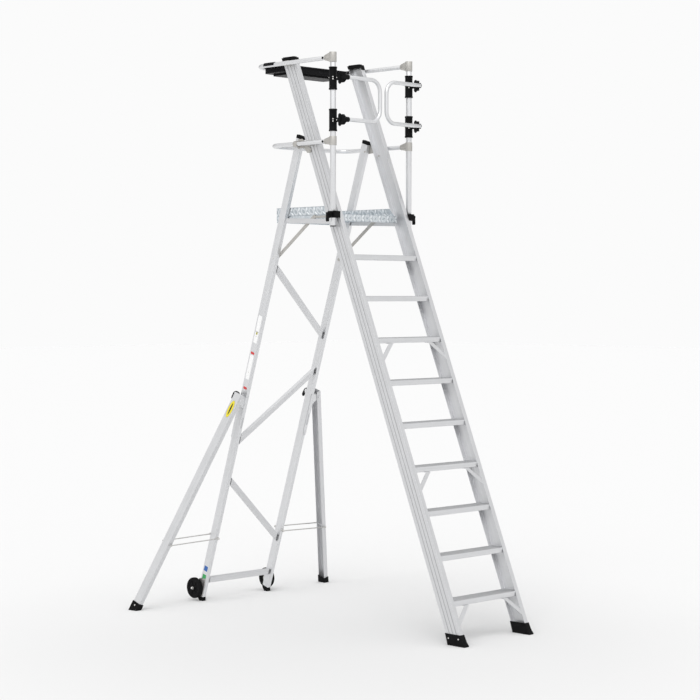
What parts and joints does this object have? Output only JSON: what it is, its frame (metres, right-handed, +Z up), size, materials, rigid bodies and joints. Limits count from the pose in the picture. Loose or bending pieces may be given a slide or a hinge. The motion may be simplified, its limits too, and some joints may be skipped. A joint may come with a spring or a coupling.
{
  "type": "rolling platform ladder",
  "caption": "Tall rolling warehouse ladder with a fixed platform, guard rails, swing gates, a tool tray, folding outriggers and tip-to-roll wheels.",
  "frame": {"origin": "centre of the bounding box's base, at floor level", "axes": "+Z up, +Y from the climbing side towards the rear legs, +X to the right of a person climbing"},
  "size_m": [1.9738, 2.787, 3.995],
  "materials": {
    "aluminium_extrusion": "satin extruded aluminium, fine lengthwise grain",
    "aluminium_tread": "ribbed extruded aluminium",
    "aluminium_tube": "satin drawn tube",
    "cast_aluminium": "die cast, slightly rough",
    "steel_fitting": "zinc plated",
    "galvanised_sheet": "galvanised perforated sheet",
    "black_plastic": "moulded, fine texture",
    "tray_plastic": "moulded, satin",
    "black_rubber": "moulded rubber",
    "tyre": "solid tyre"
  },
  "bodies": {
    "frame": {"stile_left": "aluminium_extrusion", "stile_right": "aluminium_extrusion", "tread_1": "aluminium_tread", "tread_2": "aluminium_tread", "tread_3": "aluminium_tread", "tread_4": "aluminium_tread", "tread_5": "aluminium_tread", "tread_6": "aluminium_tread", "tread_7": "aluminium_tread", "tread_8": "aluminium_tread", "tread_9": "aluminium_tread", "knee_braces": "steel_fitting", "stile_boot_left": "black_rubber", "stile_boot_right": "black_rubber", "end_caps": "black_plastic", "platform_deck": "galvanised_sheet", "toe_boards": "galvanised_sheet", "platform_side_bars": "aluminium_extrusion", "platform_braces": "aluminium_extrusion", "rear_leg_left": "aluminium_extrusion", "rear_leg_right": "aluminium_extrusion", "leg_feet": "black_rubber", "cross_brace_upper": "aluminium_extrusion", "cross_brace_middle": "aluminium_extrusion", "cross_brace_lower": "aluminium_extrusion", "bottom_bar": "aluminium_extrusion", "wheel_bracket_left": "steel_fitting", "wheel_bracket_right": "steel_fitting", "post_left": "aluminium_tube", "post_right": "aluminium_tube", "top_rail": "aluminium_tube", "mid_rail": "aluminium_tube", "rail_castings": "cast_aluminium", "rail_brackets": "cast_aluminium", "hinge_sleeves": "black_plastic", "tool_tray": "tray_plastic", "post_clamps": "black_plastic", "frame_fasteners": "steel_fitting"},
    "wheel_left": {"wheel_hub_left": "black_plastic", "tyre_left": "tyre"},
    "slider_left": {"outrigger_slider_left": "cast_aluminium"},
    "outrigger_arm_left": {"outrigger_left": "aluminium_extrusion", "outrigger_foot_left": "black_rubber"},
    "latch_left": {"outrigger_latch_left": "black_plastic"},
    "stays_left": {"outrigger_stays_left": "steel_fitting"},
    "gate_left": {"gate_tube_left": "aluminium_tube", "gate_hinge_left": "black_plastic"},
    "lever_left": {"clamp_lever_left": "black_plastic"},
    "wheel_right": {"wheel_hub_right": "black_plastic", "tyre_right": "tyre"},
    "slider_right": {"outrigger_slider_right": "cast_aluminium"},
    "outrigger_arm_right": {"outrigger_right": "aluminium_extrusion", "outrigger_foot_right": "black_rubber"},
    "latch_right": {"outrigger_latch_right": "black_plastic"},
    "stays_right": {"outrigger_stays_right": "steel_fitting"},
    "gate_right": {"gate_tube_right": "aluminium_tube", "gate_hinge_right": "black_plastic"},
    "lever_right": {"clamp_lever_right": "black_plastic"}
  },
  "joints": [
    {"name": "wheel_spin_left", "type": "hinge", "parent": "frame", "child": "wheel_left", "pos_m": [-0.367, 1.3155, 0.0965], "axis": [1, 0, 0], "continuous": true},
    {"name": "slider_lift_left", "type": "slide", "parent": "frame", "child": "slider_left", "axis": [0, -0.3084, 0.9513], "range_m": [0, 0.5211]},
    {"name": "outrigger_fold_left", "type": "hinge", "parent": "slider_left", "child": "outrigger_arm_left", "pos_m": [-0.4, 0.79093, 1.54106], "axis": [0, -0.9513, -0.3084], "range_deg": [0, 19.03]},
    {"name": "latch_press_left", "type": "hinge", "parent": "slider_left", "child": "latch_left", "pos_m": [-0.3575, 0.85135, 1.58167], "axis": [-1, 0, 0], "range_deg": [0, 25], "stiffness_Nm_per_rad": 1},
    {"name": "stay_fold_left", "type": "hinge", "parent": "frame", "child": "stays_left", "pos_m": [-0.33, 1.12858, 0.49942], "axis": [0, 0.9513, 0.3084], "range_deg": [0, 82.49]},
    {"name": "gate_swing_left", "type": "hinge", "parent": "frame", "child": "gate_left", "pos_m": [-0.381, -0.2625, 3.655], "axis": [0, 0, 1], "range_deg": [0, 80], "stiffness_Nm_per_rad": 0.5},
    {"name": "clamp_lever_lift_left", "type": "hinge", "parent": "frame", "child": "lever_left", "pos_m": [-0.424, -0.1955, 2.866], "axis": [0, 1, 0], "range_deg": [0, 90]},
    {"name": "wheel_spin_right", "type": "hinge", "parent": "frame", "child": "wheel_right", "pos_m": [0.367, 1.3155, 0.0965], "axis": [1, 0, 0], "continuous": true},
    {"name": "slider_lift_right", "type": "slide", "parent": "frame", "child": "slider_right", "axis": [0, -0.3084, 0.9513], "range_m": [0, 0.5211]},
    {"name": "outrigger_fold_right", "type": "hinge", "parent": "slider_right", "child": "outrigger_arm_right", "pos_m": [0.4, 0.79093, 1.54106], "axis": [0, 0.9513, 0.3084], "range_deg": [0, 19.03]},
    {"name": "latch_press_right", "type": "hinge", "parent": "slider_right", "child": "latch_right", "pos_m": [0.3575, 0.85135, 1.58167], "axis": [-1, 0, 0], "range_deg": [0, 25], "stiffness_Nm_per_rad": 1},
    {"name": "stay_fold_right", "type": "hinge", "parent": "frame", "child": "stays_right", "pos_m": [0.33, 1.12858, 0.49942], "axis": [0, -0.9513, -0.3084], "range_deg": [0, 82.49]},
    {"name": "gate_swing_right", "type": "hinge", "parent": "frame", "child": "gate_right", "pos_m": [0.381, -0.2625, 3.655], "axis": [0, 0, -1], "range_deg": [0, 80], "stiffness_Nm_per_rad": 0.5},
    {"name": "clamp_lever_lift_right", "type": "hinge", "parent": "frame", "child": "lever_right", "pos_m": [0.424, -0.1955, 2.866], "axis": [0, -1, 0], "range_deg": [0, 90]}
  ],
  "couplings": [
    {"joint": "outrigger_fold_left", "follows": "slider_lift_left", "rad_per_m": 0.63737},
    {"joint": "stay_fold_left", "follows": "slider_lift_left", "rad_per_m": 2.7627},
    {"joint": "outrigger_fold_right", "follows": "slider_lift_right", "rad_per_m": 0.63737},
    {"joint": "stay_fold_right", "follows": "slider_lift_right", "rad_per_m": 2.7627}
  ]
}
